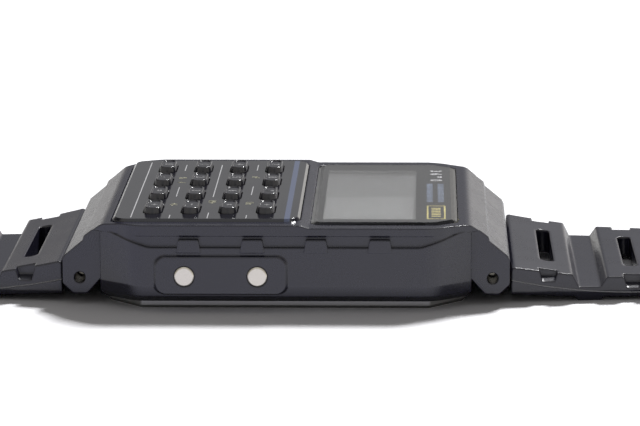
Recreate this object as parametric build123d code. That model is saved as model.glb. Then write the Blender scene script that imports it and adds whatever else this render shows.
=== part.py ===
from build123d import *
import math
import os

# Calculator wristwatch with a resin case, lying on its case back, both strap halves laid out flat.
# Millimetres. X runs from the 6 o'clock end to the 12 o'clock end, the 3 o'clock side faces -Y,
# and Z points out of the face. The origin is the middle of the case back's resting plane.

# General clearances and finishes
overrun = 1.0            # how far a cutting tool runs past the surface that it opens
slip_fit = 0.05          # radial or side gap of a piece that slides or turns
seat_gap = 0.08          # side gap round a piece that is dropped into its seat
edge_break = 0.15        # small rounded or bevelled edge

# Stack through the watch, from the wrist up
back_thickness = 0.8
sounder_space = 1.1      # room between case back and module
frame_thickness = 2.4
board_thickness = 0.6
mat_thickness = 0.5
dome_height = 0.9
key_travel = 0.35
key_rest_gap = key_travel + slip_fit
flange_thickness = 0.4
deck_thickness = 0.8
panel_thickness = 0.8
key_rise = 0.58
panel_proud = 0.25
zebra_height = 0.85
lcd_thickness = 1.2
lcd_gap = 0.2
mask_thickness = 0.2
lens_thickness = 1.0
lens_proud = 0.17
ledge_thickness = 0.75

case_bottom_z = back_thickness
module_z = case_bottom_z + sounder_space
board_z = module_z + frame_thickness
board_top_z = board_z + board_thickness
mat_top_z = board_top_z + mat_thickness
dome_top_z = mat_top_z + dome_height
flange_z = dome_top_z + key_rest_gap
deck_z = flange_z + flange_thickness
panel_z = deck_z + deck_thickness
panel_top_z = panel_z + panel_thickness
key_top_z = panel_top_z + key_rise
keypad_bezel_z = panel_top_z - panel_proud
lcd_z = board_top_z + zebra_height
mask_z = lcd_z + lcd_thickness + lcd_gap
lens_z = mask_z + mask_thickness
lens_top_z = lens_z + lens_thickness
display_bezel_z = lens_top_z - lens_proud
ledge_z = mask_z - ledge_thickness

# Keypad: four rows towards 12 o'clock, four keys in a row
key_pitch_x = 3.65
key_pitch_y = 6.83
key_width = 1.7
key_length = 4.15
key_corner = 0.78
key_taper = 0.1          # each side of the cap leans in by this much
key_dish_rim = 0.2
key_dish_depth = 0.1
key_clearance = 0.1
flange_reach = 0.35
panel_margin_six = 2.9   # panel edge to the nearest key's side, at the 6 o'clock end
panel_margin_twelve = 2.55
panel_margin_side = 2.58
panel_corner = 1.5
panel_groove = 0.22      # open joint along the panel's 6 o'clock edge
panel_bevel = 0.25
keys_across = 4
keys_along = 4

# Case
end_margin_six = 1.2     # body end to panel
end_margin_twelve = 1.35 # lens to body end
section_gap = 1.05       # panel to lens
lens_length = 14.1
lens_corner = 1.1
lens_cut_run = 2.0       # the corners cut off the lens at 12 o'clock
lens_bevel_run = 0.6
lens_bevel_drop = 0.2
bezel_side = 2.1         # case side to panel side
lens_side = 2.0          # case side to lens side
hood_set = 3.4           # the end hoods are narrower than the body by this much a side
corner_set = 2.75        # width that the body's corner cuts take off a side
corner_run = 3.6
lug_reach = 3.7
end_wall = 3.0
side_wall = 3.0
cavity_corner = 0.8
band_depth = 0.5         # depth of the groove over the aprons
band_corner_depth = 0.2  # and on the corner cuts
crown_depth = 0.35       # the crown over the groove stands back by this much
crown_run = 4.95         # length of its corner cuts, which run on over the hoods
crown_overhang = 1.2     # body end to where those cuts meet the hoods' sides
crown_height = 1.05      # bezel to the crown's lower edge
apron_drop = 2.12        # keypad bezel to the apron's top edge
apron_wedge_run = 3.7
apron_wedge_rise = 1.12
apron_wedge_inset = 1.2
tooth_pitch = 6.1
tooth_base = 2.35
tooth_crown = 1.9
tooth_height = 0.8       # apron's edge to the tooth's top
tooth_drop = 0.45        # and to its foot
tooth_proud = 0.15
tooth_count = 4
tooth_offset = -0.03     # middle of the row of teeth
shoulder_run = 2.2       # crest to the flat of the bezel
crest_drop = 0.05
crest_round = 1.2
facet_round = 0.12
upper_facet_run = 1.8
upper_facet_drop = 1.35
facet_step_run = 0.15
facet_step_drop = 0.45
lower_facet_run = 1.75
lower_facet_drop = 1.45
tip_run = 0.2
tip_drop = 0.4
bezel_step_run = 0.9
bottom_rise = 0.7        # underside to the lower edge of the sides
bottom_slope = 1.1       # and from there to the crease under which the sides lean in
bottom_side_inset = 0.4
bottom_corner_inset = 0.35
underside_inset = 1.5
end_bevel = 0.5          # lower edge of the body's ends

bottom_edge_z = case_bottom_z + bottom_rise
bottom_crease_z = bottom_edge_z + bottom_slope
panel_length = panel_margin_six + (keys_along - 1) * key_pitch_x + key_width + panel_margin_twelve
panel_width = (keys_across - 1) * key_pitch_y + key_length + 2 * panel_margin_side
body_length = end_margin_six + panel_length + section_gap + lens_length + end_margin_twelve
body_end = body_length / 2
case_end = body_end + lug_reach
case_width = panel_width + 2 * bezel_side
case_side = case_width / 2
hood_side = case_side - hood_set
cavity_end = body_end - end_wall
cavity_side = case_side - side_wall
panel_left = -body_end + end_margin_six
panel_right = panel_left + panel_length
lens_left = panel_right + section_gap
lens_right = lens_left + lens_length
lens_half = case_side - lens_side
panel_half = panel_width / 2
key_first_x = panel_left + panel_margin_six + key_width / 2
key_first_y = -(keys_across - 1) * key_pitch_y / 2
crest_x = case_end - tip_run - lower_facet_run - facet_step_run - upper_facet_run
crest_z = display_bezel_z - crest_drop

# Spring bars, lugs and the strap's roots
bar_inset = 1.65         # lug end to bar axis
bar_height = 1.85        # case underside to bar axis
bar_hole_r = 0.56
bar_tube_r = 0.75
bar_tube_wall = 0.22
bar_pin_r = 0.45
bar_collar_r = 0.64
bar_collar = 0.3
bar_pin_reach = 1.2
bar_pin_tail = 3.0
bar_coil_wire = 0.1
bar_coil_pitch = 1.1
lug_floor_drop = 1.57    # bar axis to the lug's underside
lug_toe_drop = 0.6
lug_toe_run = 1.0
lug_floor_run = 1.35
lug_round = 0.5
root_half = 8.95         # half width of the strap's root
root_side_gap = 0.15
root_r = 1.35
root_pocket_gap = 0.25
root_top = 0.6           # the root's top face above the bar axis
root_bottom = 1.3
hood_lip = 1.25          # underside of the hood's lip above the bar axis
strap_gap = 0.2

bar_x = case_end - bar_inset
bar_z = case_bottom_z + bar_height
pocket_half = root_half + root_side_gap
pocket_r = root_r + root_pocket_gap

# Straps
strap_start_half = 12.6
strap_end_half = 9.0
strap_taper_run = 36.0
first_link_lead = 0.4    # the link at the case is longer by this much
link_length = 6.15       # raised part of a link with its ramps
valley_length = 2.1      # one raised part to the next
valley_ramp = 0.65
valley_floor = 1.45      # top of the strap in its valleys, above the table
strap_top = 2.35         # top of the links where the strap lies flat
block_round = 0.3
strap_recess = 0.38      # underside between the pads
pad_length = 2.1
pad_ramp = 0.35
pad_round = 0.3
under_bevel = 0.5        # sloping lower part of the strap's sides
under_bevel_top = 1.05
settle_run = 11.0        # how far from the case the strap still comes down
settle_power = 1.5
settle_steps = 10
root_rise_twelve = 1.2   # extra height of the strap at the case, 12 o'clock half
root_rise_six = 1.75
root_lift = 0.55         # extra height of its underside there
root_run = 1.25          # how far the root runs into the first link
slot_share = 0.6         # slot length as a share of the strap's width
slot_width = 1.4
slot_from_start = 3.2    # start of a link to the middle of its slot
notch_depth = 1.15
notch_length = 1.9
notch_foot = 1.2         # length of the notch at its ledge
notch_ledge = 1.25       # outer edge of the ledge above the table
notch_ledge_rise = 0.4
notch_settle = 1.45      # extra height of the ledge at the case
links_twelve = 8
links_six = 14
strap_tip = 6.0
tip_round = 5.0
end_run = 1.8            # last valley to the buckle bar

# Buckle and keeper
buckle_bar_z = 1.2
buckle_barrel_r = 1.1
buckle_bar_r = 0.75
buckle_pin_r = 0.45
buckle_pin_reach = 1.6
tongue_notch_half = 1.4
tongue_notch_run = 4.0
tongue_half = 1.1
tongue_ring_r = 1.15
tongue_reach = 12.2
tongue_rise = 1.2        # underside of the blade above the bar axis
tongue_thickness = 0.65
buckle_arm = 1.85
buckle_height = 2.3
buckle_front = 1.9
buckle_window = 10.4     # bar axis to the front bar
buckle_corner = 2.2
arm_gap = 0.2
keeper_width = 6.0
keeper_wall = 1.2
keeper_web = 0.6         # the part of the loop under the strap
keeper_room = 5.0        # inside height above the table
keeper_from_bar = 15.0   # buckle bar to the middle of the loop
keeper_slide = 3.0
keeper_gap = 0.3
keeper_round = 1.6
keeper_inner_round = 0.9
keeper_lift = 0.05

# Case back
back_end_inset = 0.6
back_side_inset = 1.8
back_corner = 3.4
back_bevel = 0.3
screw_x_inset = 1.8      # body end to screw
screw_y_inset = 6.0      # case side to screw
screw_head_r = 0.8
screw_head = 0.45
screw_r = 0.42
screw_length = 2.6
screw_slot = 0.25
gasket_inset = 0.1
gasket_width = 0.5
gasket_height = 0.5

# Pushers
guard_length = 12.95
guard_height = 3.85
guard_run = 0.3          # width of the guard's sloping rim
guard_proud = 0.3
guard_corner = 1.1
guard_x = -6.1
guard_lift = 0.1         # middle of the guard above the pushers' axis
pusher_pitch = 7.0
pusher_drop = 0.7        # board underside to pusher axis
pusher_r = 0.95
pusher_proud = 0.15
pusher_head = 1.25
pusher_stem_r = 0.4
pusher_tip = 0.65        # stem beyond the inner wall
pusher_travel = 0.5
pusher_bevel = 0.12
counterbore_wall = 0.8
ring_section_r = 0.13
ring_groove = 0.32
ring_setback = 0.45
clip_r = 0.78
clip_thickness = 0.22
clip_neck_r = 0.26
clip_gap = 0.03
coil_wire_r = 0.09
coil_r = 0.68
coil_turns = 4

# Display
seal_width = 0.5
window_inset = 0.25
lcd_inset = 0.15
lcd_length = 10.0
lcd_half = 12.9
glass_window_length = 9.0
glass_window_half = 12.2
glass_window_start = 0.2
zebra_width = 0.9
zebra_end_gap = 0.4

# Module
module_gap = 0.2
board_inset = 0.2
cell_r = 10.0
cell_thickness = 1.6
cell_x = 3.2
cell_gap = 0.2
cell_rim = 0.3
cover_thickness = 0.35
cell_strap_width = 5.0
cell_strap_thickness = 0.25
cell_strap_reach = 2.4
contact_width = 2.4
contact_thickness = 0.2
contact_reach = 6.0
insulator_thickness = 0.1
insulator_inset = 0.6
sounder_r = 5.5
sounder_thickness = 0.25
sounder_x = -8.2
sounder_y = 6.5
sounder_coil_r = 0.9
sounder_coil_wire_r = 0.12
sounder_coil_pitch = 0.65
sounder_hole_r = 1.3
chip_size = 6.0
chip_height = 1.2
chip_x = -10.3
chip_y = -4.4
crystal_r = 0.75
crystal_length = 5.4
crystal_x = -2.6
crystal_y = 11.8
small_length = 1.6
small_width = 0.8
small_height = 0.6
small_pitch = 1.3
small_count = 5
small_x = -13.6
small_y = -1.0
pocket_gap = 0.35
leaf_half = 1.0
leaf_thickness = 0.15
leaf_gap = 0.05
leaf_foot = 0.9
contact_bay = 2.1        # depth of the frame's bay at each pusher
contact_bay_half = 1.5
small_screw_r = 0.35
small_screw_head_r = 0.7
small_screw_head = 0.28
small_screw_length = 2.0
small_screw_inset = 1.2


def slab(x0, x1, y0, y1, z0, z1):
    """A box between two corners."""
    size = (x1 - x0, y1 - y0, z1 - z0)
    middle = ((x0 + x1) / 2, (y0 + y1) / 2, (z0 + z1) / 2)
    return Pos(*middle) * Box(*size)


def outline(corners):
    """A closed face through corners given as (across, up, rounding radius)."""
    points = [(a, b) for a, b, r in corners]
    radii = [r for a, b, r in corners]
    if not any(radii):
        return make_face(Polyline(*points, close=True))
    return make_face(FilletPolyline(*points, radius=radii, close=True))


def along_y(corners, y0, y1):
    """An XZ outline carried from y0 to y1."""
    side = Plane((0, y1, 0), x_dir=(1, 0, 0), z_dir=(0, -1, 0))
    return extrude(side * outline(corners), amount=y1 - y0, dir=side.z_dir)


def along_x(corners, x0, x1):
    """A YZ outline carried from x0 to x1."""
    side = Plane((x0, 0, 0), x_dir=(0, 1, 0), z_dir=(1, 0, 0))
    return extrude(side * outline(corners), amount=x1 - x0, dir=side.z_dir)


def along_z(corners, z0, z1):
    """An XY outline carried from z0 to z1."""
    return extrude(Pos(0, 0, z0) * outline(corners), amount=z1 - z0, dir=Plane.XY.z_dir)


def block(x0, x1, half, z0, z1, corner):
    """A slab across the watch with rounded upright edges."""
    size = (x1 - x0, 2 * half)
    return extrude(Pos((x0 + x1) / 2, 0, z0) * RectangleRounded(*size, corner), amount=z1 - z0)


def rod_y(x, z, y0, y1, r):
    """A round bar along Y."""
    return Pos(x, (y0 + y1) / 2, z) * Rot(X=90) * Cylinder(r, y1 - y0)


def disc(x, y, z0, z1, r):
    """A round plate or post along Z."""
    return Pos(x, y, (z0 + z1) / 2) * Cylinder(r, z1 - z0)


def coil(r, wire_r, pitch, height):
    """A round-wire spring standing on the XY plane at the origin."""
    path = Helix(pitch=pitch, height=height, radius=r)
    start = Plane(origin=path @ 0, z_dir=path % 0)
    return sweep(start * Circle(wire_r), path=path)


def both_sides(piece):
    """A piece and its mirror image across the watch."""
    return piece + mirror(piece, about=Plane.XZ)


def both_ends(piece):
    """A piece and its mirror image at the other end."""
    return piece + mirror(piece, about=Plane.YZ)


def plan(side_inset, hood_inset, z):
    """The body's plan: long sides, corner cuts running back to the hoods' width, straight ends."""
    side = case_side - side_inset
    hood = case_side - corner_set - hood_inset
    run = body_end - corner_run * (side - hood) / corner_set
    corners = [(body_end, hood, 0), (run, side, corner_set), (-run, side, corner_set), (-body_end, hood, 0),
               (-body_end, -hood, 0), (-run, -side, corner_set), (run, -side, corner_set), (body_end, -hood, 0)]
    return Pos(0, 0, z) * outline(corners)


def plan_slab(side_inset, hood_inset, z0, z1):
    """The body's plan, drawn in by the insets, carried from z0 to z1."""
    return extrude(plan(side_inset, hood_inset, z0), amount=z1 - z0, dir=Plane.XY.z_dir)


def crown(z0, z1):
    """The upper part of the sides, over the groove: its corner cuts run on over the hoods."""
    end = body_end + crown_overhang
    run = end - crown_run
    side = case_side - crown_depth
    corners = [(end, hood_side, 0), (run, side, corner_set), (-run, side, corner_set), (-end, hood_side, 0),
               (-end, -hood_side, 0), (-run, -side, corner_set), (run, -side, corner_set), (end, -hood_side, 0)]
    return along_z(corners, z0, z1)


def hood_profile(end, bezel_z):
    """Corners from the flat of the bezel down the facets to the lug's tip; end is 1 or -1."""
    tip_x = case_end - tip_run
    step_x = tip_x - lower_facet_run
    step_top_z = crest_z - upper_facet_drop
    step_z = step_top_z - facet_step_drop
    tip_z = step_z - lower_facet_drop
    corners = [(crest_x - shoulder_run, bezel_z, crest_round), (crest_x, crest_z, crest_round),
               (step_x - facet_step_run, step_top_z, facet_round), (step_x, step_z, 0),
               (tip_x, tip_z, facet_round), (case_end, tip_z - tip_drop, facet_round)]
    return [(end * x, z, r) for x, z, r in corners]


def lug_profile(end):
    """Corners from the lug's tip round its toe and back up to the body."""
    toe_z = bar_z - lug_toe_drop
    floor_z = bar_z - lug_floor_drop
    floor_x = case_end - lug_toe_run
    corners = [(case_end, toe_z, lug_round), (floor_x, floor_z, lug_round),
               (floor_x - lug_floor_run, floor_z, lug_round), (body_end, bottom_crease_z, 0)]
    return [(end * x, z, r) for x, z, r in corners]


def side_view():
    """The whole case seen from the side, carried across its full width."""
    upper = hood_profile(-1, keypad_bezel_z)[::-1]
    upper += [(panel_right, keypad_bezel_z, facet_round),
              (panel_right + bezel_step_run, display_bezel_z, facet_round)]
    upper += hood_profile(1, display_bezel_z)
    toe = (body_end, case_bottom_z + end_bevel, 0)
    heel = (body_end - end_bevel - overrun, case_bottom_z - overrun, 0)
    lower = lug_profile(1) + [toe, heel, (-heel[0], heel[1], 0), (-toe[0], toe[1], 0)] + lug_profile(-1)[::-1]
    return along_y(upper + lower, -case_side - overrun, case_side + overrun)


def aprons():
    """The lower side panels: they stand proud of the band under the bezel, with a wedge at each end."""
    edge_z = keypad_bezel_z - apron_drop
    wedge_x = body_end - apron_wedge_inset
    knee_x = wedge_x - apron_wedge_run
    corners = [(body_end + overrun, -overrun, 0), (body_end + overrun, edge_z + apron_wedge_rise, 0),
               (wedge_x, edge_z + apron_wedge_rise, 0), (knee_x, edge_z, apron_wedge_run / 2),
               (-knee_x, edge_z, apron_wedge_run / 2), (-wedge_x, edge_z + apron_wedge_rise, 0),
               (-body_end - overrun, edge_z + apron_wedge_rise, 0), (-body_end - overrun, -overrun, 0)]
    return along_y(corners, -case_side - overrun, case_side + overrun)


def teeth():
    """The short raised trapezoids that stand on the aprons' edges."""
    edge_z = keypad_bezel_z - apron_drop
    row = Part()
    for i in range(tooth_count):
        x = tooth_offset + (i - (tooth_count - 1) / 2) * tooth_pitch
        corners = [(x - tooth_base / 2, edge_z - tooth_drop, 0),
                   (x - tooth_crown / 2, edge_z + tooth_height, edge_break),
                   (x + tooth_crown / 2, edge_z + tooth_height, edge_break),
                   (x + tooth_base / 2, edge_z - tooth_drop, 0)]
        row += along_y(corners, -case_side - tooth_proud, -case_side + side_wall / 2)
    return both_sides(row)


def pusher_places():
    """Where the two pushers stand along the case."""
    return (guard_x - pusher_pitch / 2, guard_x + pusher_pitch / 2)


pusher_z = board_z - pusher_drop
guard_face = case_side + guard_proud
counterbore_y = -(cavity_side + counterbore_wall)
head_back = -guard_face - pusher_proud + pusher_head
counterbore_r = pusher_r + slip_fit


def pusher_guard():
    """The raised plateau round the pushers, with a sloping rim."""
    wall = Plane((guard_x, -case_side + band_depth, pusher_z + guard_lift), x_dir=(1, 0, 0), z_dir=(0, -1, 0))
    foot = RectangleRounded(guard_length, guard_height, guard_corner)
    crown = RectangleRounded(guard_length - 2 * guard_run, guard_height - guard_run,
                             guard_corner - guard_run / 2)
    root = extrude(wall * foot, amount=band_depth)
    rim = loft([wall.offset(band_depth) * foot, wall.offset(band_depth + guard_proud) * crown])
    return root + rim


def key_places():
    """Rows of (x, y) from the 6 o'clock row to the display, each from the 3 o'clock side across."""
    return [[(key_first_x + i * key_pitch_x, key_first_y + j * key_pitch_y) for j in range(keys_across)]
            for i in range(keys_along)]


def key_holes(z0, z1):
    """The sixteen openings that the caps slide in."""
    size = (key_width + 2 * key_clearance, key_length + 2 * key_clearance)
    holes = Part()
    for row in key_places():
        for x, y in row:
            holes += extrude(Pos(x, y, z0) * RectangleRounded(*size, key_corner), amount=z1 - z0)
    return holes


def screw_places():
    """The four case back screws."""
    x = body_end - screw_x_inset
    y = case_side - screw_y_inset
    return [(sx * x, sy * y) for sx in (-1, 1) for sy in (-1, 1)]


def lug_pocket():
    """What is cleared under the 12 o'clock hood so that the strap's root can swing down."""
    round_part = rod_y(bar_x, bar_z, -pocket_half, pocket_half, pocket_r)
    below = slab(bar_x - pocket_r, case_end + overrun, -pocket_half, pocket_half, -overrun, bar_z)
    mouth = slab(bar_x, case_end + overrun, -pocket_half, pocket_half, bar_z - overrun, bar_z + hood_lip)
    return round_part + below + mouth


def case_body():
    """The resin case: hoods, aprons, band, teeth, guard and every seat that is cut into it."""
    core = plan_slab(band_depth, band_corner_depth, bottom_crease_z, panel_top_z)
    core += crown(keypad_bezel_z - crown_height, panel_top_z)
    skirt = plan_slab(0, 0, bottom_crease_z, panel_top_z) & aprons()
    lower_edge = plan(bottom_side_inset, bottom_corner_inset, bottom_edge_z)
    tub = loft([plan(underside_inset, underside_inset, case_bottom_z), lower_edge], ruled=True)
    tub += loft([lower_edge, plan(0, 0, bottom_crease_z)], ruled=True)
    hood = along_y([(cavity_end, panel_top_z, 0), (cavity_end, bottom_crease_z, 0),
                    (body_end, bottom_crease_z, 0), (body_end, 0, 0), (case_end + overrun, 0, 0),
                    (case_end + overrun, panel_top_z, 0)], -hood_side, hood_side)
    shell = (core + skirt + teeth() + tub + both_ends(hood)) & side_view()
    shell += pusher_guard()
    shell -= both_ends(lug_pocket())
    shell -= rod_y(bar_x, bar_z, -hood_side - overrun, hood_side + overrun, bar_hole_r)
    shell -= rod_y(-bar_x, bar_z, -hood_side - overrun, hood_side + overrun, bar_hole_r)
    shell -= block(panel_left - panel_groove, panel_right + seat_gap, panel_half + seat_gap, panel_z,
                   panel_top_z + overrun, panel_corner + seat_gap)
    shell -= key_holes(deck_z - overrun, panel_z + overrun)
    shell -= lens_block(-seat_gap, mask_z, lens_top_z + overrun)
    shell -= slab(lens_left + seal_width + window_inset, lens_left + seal_width + lcd_length + 2 * window_inset,
                  -lcd_half - lcd_inset, lcd_half + lcd_inset, ledge_z - overrun, mask_z + overrun)
    shell -= block(-cavity_end, cavity_end, cavity_side, -overrun, ledge_z, cavity_corner)
    shell -= block(-cavity_end, lens_left - lcd_gap, cavity_side, case_bottom_z, deck_z, cavity_corner)
    shell -= gasket_ring(case_bottom_z - overrun, gasket_height + overrun, gasket_inset, gasket_width)
    for x, y in screw_places():
        shell -= disc(x, y, -overrun, screw_length + screw_head, screw_r)
    for x in pusher_places():
        shell -= rod_y(x, pusher_z, -guard_face - overrun, counterbore_y, counterbore_r)
        shell -= rod_y(x, pusher_z, counterbore_y - slip_fit, -cavity_side + overrun, pusher_stem_r + slip_fit)
    return shell


def gasket_ring(z, height, inset, width):
    """A flat ring that follows the cavity's outline."""
    outer = block(-cavity_end - inset - width, cavity_end + inset + width, cavity_side + inset + width,
                  z, z + height, cavity_corner + inset + width)
    inner = block(-cavity_end - inset, cavity_end + inset, cavity_side + inset,
                  z - overrun, z + height + overrun, cavity_corner + inset)
    return outer - inner


def case_back():
    """Steel plate with four screw seats."""
    end = body_end - back_end_inset
    side = case_side - back_side_inset
    corners = [(end, side - back_corner, back_bevel), (end - back_corner, side, back_bevel),
               (back_corner - end, side, back_bevel), (-end, side - back_corner, back_bevel),
               (-end, back_corner - side, back_bevel), (back_corner - end, -side, back_bevel),
               (end - back_corner, -side, back_bevel), (end, back_corner - side, back_bevel)]
    plate = along_z(corners, 0, back_thickness)
    plate = chamfer(plate.faces().sort_by(Axis.Z)[0].edges(), length=back_bevel)
    for x, y in screw_places():
        plate -= disc(x, y, -overrun, screw_head + slip_fit, screw_head_r + slip_fit)
        plate -= disc(x, y, 0, back_thickness + overrun, screw_r + slip_fit)
    return plate


def back_screws():
    """Four flat-headed slotted screws, their heads level with the plate."""
    screws = Part()
    for x, y in screw_places():
        head = disc(x, y, slip_fit, slip_fit + screw_head, screw_head_r)
        cut = slab(x - screw_head_r, x + screw_head_r, y - screw_slot / 2, y + screw_slot / 2,
                   -overrun, slip_fit + screw_slot)
        screws += head + disc(x, y, slip_fit, screw_length, screw_r - slip_fit) - cut
    return screws


def lens_block(inset, z0, z1):
    """The lens's plan drawn in by an inset: its 12 o'clock corners are cut along the case's corners."""
    cut_rise = lens_cut_run * corner_set / corner_run
    corners = [(lens_left, lens_half, lens_corner), (lens_right - lens_cut_run, lens_half, lens_corner),
               (lens_right, lens_half - cut_rise, lens_corner), (lens_right, cut_rise - lens_half, lens_corner),
               (lens_right - lens_cut_run, -lens_half, lens_corner), (lens_left, -lens_half, lens_corner)]
    face = offset(outline(corners), amount=-inset) if inset else outline(corners)
    return extrude(Pos(0, 0, z0) * face, amount=z1 - z0, dir=Plane.XY.z_dir)


def display_lens():
    """Clear window plate with bevelled upper edges."""
    plate = lens_block(0, lens_z, lens_top_z)
    top = plate.faces().sort_by(Axis.Z)[-1]
    return chamfer(top.edges(), length=lens_bevel_run, length2=lens_bevel_drop, reference=top)


def lens_seal():
    """Thin gasket frame between the lens and its ledge."""
    return lens_block(0, mask_z, lens_z) - lens_block(seal_width, mask_z - overrun, lens_z + overrun)


def dial_plate():
    """Printed mask under the lens with the display's window."""
    plate = lens_block(seal_width + slip_fit, mask_z, lens_z)
    x0 = lens_left + seal_width + window_inset + lcd_inset + glass_window_start
    return plate - slab(x0, x0 + glass_window_length, -glass_window_half, glass_window_half,
                        mask_z - overrun, lens_z + overrun)


def keypad_panel():
    """Glossy plate with sixteen key openings."""
    plate = block(panel_left, panel_right, panel_half, panel_z, panel_top_z, panel_corner)
    plate = chamfer(plate.faces().sort_by(Axis.Z)[-1].edges(), length=panel_bevel)
    return plate - key_holes(panel_z - overrun, panel_top_z + overrun)


def key_cap():
    """Tapered cap with a dished top, its stem and the flange that keeps it in the case, at the origin."""
    def oval(z, shrink):
        size = (key_width - 2 * shrink, key_length - 2 * shrink)
        return Pos(0, 0, z) * RectangleRounded(*size, key_corner - shrink)

    cap = loft([oval(panel_top_z, 0), oval(key_top_z, key_taper)])
    cap = fillet(cap.faces().sort_by(Axis.Z)[-1].edges(), radius=key_taper)
    rim = key_taper + key_dish_rim
    dish = loft([oval(key_top_z - key_dish_depth, rim), oval(key_top_z + key_dish_depth, rim - key_dish_depth)])
    stem = extrude(oval(deck_z, 0), amount=panel_top_z - deck_z)
    flange_size = (key_width + 2 * flange_reach, key_length + 2 * flange_reach)
    flange_face = Pos(0, 0, flange_z) * RectangleRounded(*flange_size, key_corner)
    flange = extrude(flange_face, amount=flange_thickness)
    return cap - dish + stem + flange


def key_mat():
    """Rubber sheet with one dome under each key."""
    x0 = -cavity_end + module_gap
    mat = block(x0, lens_left - lcd_gap - module_gap, cavity_side - module_gap, board_top_z, mat_top_z,
                cavity_corner)
    foot = Pos(0, 0, mat_top_z) * RectangleRounded(key_width, key_length, key_corner)
    crown_size = (key_width - 2 * key_dish_rim, key_length - 2 * key_dish_rim)
    crown = Pos(0, 0, dome_top_z) * RectangleRounded(*crown_size, key_corner - key_dish_rim)
    dome = loft([foot, crown])
    for row in key_places():
        for x, y in row:
            mat += Pos(x, y, 0) * dome
    return mat


window_x = lens_left + seal_width + window_inset
lcd_x = window_x + lcd_inset


def lcd_panel():
    """Two glass sheets: the rear one reaches out over the zebra strips."""
    rear = slab(lcd_x, lcd_x + lcd_length - lcd_inset, -lcd_half, lcd_half, lcd_z, lcd_z + lcd_thickness / 2)
    front = slab(lcd_x, lcd_x + lcd_length - lcd_inset, -lcd_half + lcd_inset, lcd_half - lcd_inset,
                 lcd_z + lcd_thickness / 2, lcd_z + lcd_thickness)
    return rear + front


def zebra_strips():
    """Two rubber connectors between board and display."""
    far = lcd_x + lcd_length - lcd_inset
    half = lcd_half - zebra_end_gap
    return (slab(lcd_x, lcd_x + zebra_width, -half, half, board_top_z, lcd_z)
            + slab(far - zebra_width, far, -half, half, board_top_z, lcd_z))


def circuit_board():
    """Board that carries mat, display and chip."""
    inset = module_gap + board_inset
    return block(-cavity_end + inset, cavity_end - inset, cavity_side - inset, board_z, board_top_z,
                 cavity_corner)


cell_z = module_z - cover_thickness + slip_fit
strap_under_z = module_z - cover_thickness - cell_strap_thickness


def small_screw_places():
    """The four screws of the module."""
    x = cavity_end - module_gap - small_screw_inset
    y = cavity_side - module_gap - small_screw_inset
    return [(sx * x, sy * y) for sx in (-1, 1) for sy in (-1, 1)]


def module_frame():
    """Plastic frame with bays for the cell, the chip, the crystal and the pushers' contacts."""
    frame = block(-cavity_end + module_gap, cavity_end - module_gap, cavity_side - module_gap,
                  module_z, board_z, cavity_corner)
    frame -= disc(cell_x, 0, module_z - overrun, board_z + overrun, cell_r + cell_gap)
    reach = chip_size / 2 + pocket_gap
    frame -= slab(chip_x - reach, chip_x + reach, chip_y - reach, chip_y + reach,
                  board_z - chip_height - pocket_gap, board_z + overrun)
    frame -= slab(crystal_x - crystal_length / 2 - pocket_gap, crystal_x + crystal_length / 2 + pocket_gap,
                  crystal_y - crystal_r - pocket_gap, crystal_y + crystal_r + pocket_gap,
                  board_z - 2 * crystal_r - pocket_gap, board_z + overrun)
    small_end = small_y + (small_count - 1) * small_pitch
    frame -= slab(small_x - small_length / 2 - pocket_gap, small_x + small_length / 2 + pocket_gap,
                  small_y - small_width - pocket_gap, small_end + small_width + pocket_gap,
                  board_z - small_height - pocket_gap, board_z + overrun)
    frame -= disc(sounder_x, sounder_y, module_z - overrun, board_z + overrun, sounder_hole_r)
    for x in pusher_places():
        frame -= slab(x - contact_bay_half, x + contact_bay_half, -cavity_side, -cavity_side + contact_bay,
                      pusher_z - counterbore_r, board_z + overrun)
    for x, y in small_screw_places():
        frame -= disc(x, y, module_z - overrun, module_z + small_screw_length, small_screw_r)
    return frame


def module_cover():
    """Thin steel plate under the frame, open for the cell."""
    plate = block(-cavity_end + module_gap, cavity_end - module_gap, cavity_side - module_gap,
                  module_z - cover_thickness, module_z, cavity_corner)
    plate -= disc(cell_x, 0, 0, board_z, cell_r + cell_gap)
    plate -= disc(sounder_x, sounder_y, 0, board_z, sounder_hole_r)
    for x, y in small_screw_places():
        plate -= disc(x, y, 0, board_z, small_screw_r + slip_fit)
    return plate


def module_screws():
    """Four small screws through the cover into the frame."""
    screws = Part()
    top = module_z - cover_thickness
    for x, y in small_screw_places():
        screws += disc(x, y, top - small_screw_head, top, small_screw_head_r)
        screws += disc(x, y, top, module_z + small_screw_length - slip_fit, small_screw_r - slip_fit / 2)
    return screws


def battery():
    """Coin cell with the narrower cup towards the board."""
    can = disc(cell_x, 0, cell_z, cell_z + cell_thickness - cell_rim, cell_r)
    cup = disc(cell_x, 0, cell_z, cell_z + cell_thickness, cell_r - 2 * cell_rim)
    return fillet(can.edges().sort_by(Axis.Z)[0], radius=cell_rim) + cup


def battery_clip():
    """Spring strap across the cell, resting on the cover at both ends."""
    reach = cell_r + cell_strap_reach
    corners = [(-cell_strap_width / 2, -reach, edge_break), (cell_strap_width / 2, -reach, edge_break),
               (cell_strap_width / 2, reach, edge_break), (-cell_strap_width / 2, reach, edge_break)]
    return Pos(cell_x, 0, 0) * along_z(corners, strap_under_z, module_z - cover_thickness)


def battery_contact():
    """Bent leaf on the board's underside that presses on the cell's cup."""
    cup_z = cell_z + cell_thickness
    half = contact_width / 2
    foot = slab(cell_x - contact_reach / 2, cell_x - contact_reach / 2 + contact_width, -half, half,
                board_z - contact_thickness, board_z)
    leg = along_y([(-contact_reach / 2 + contact_width - contact_thickness, board_z, 0),
                   (-contact_reach / 2 + contact_width, board_z, 0),
                   (contact_reach / 2, cup_z + contact_thickness, 0), (contact_reach / 2, cup_z, 0)], -half, half)
    return foot + Pos(cell_x, 0, 0) * leg


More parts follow.
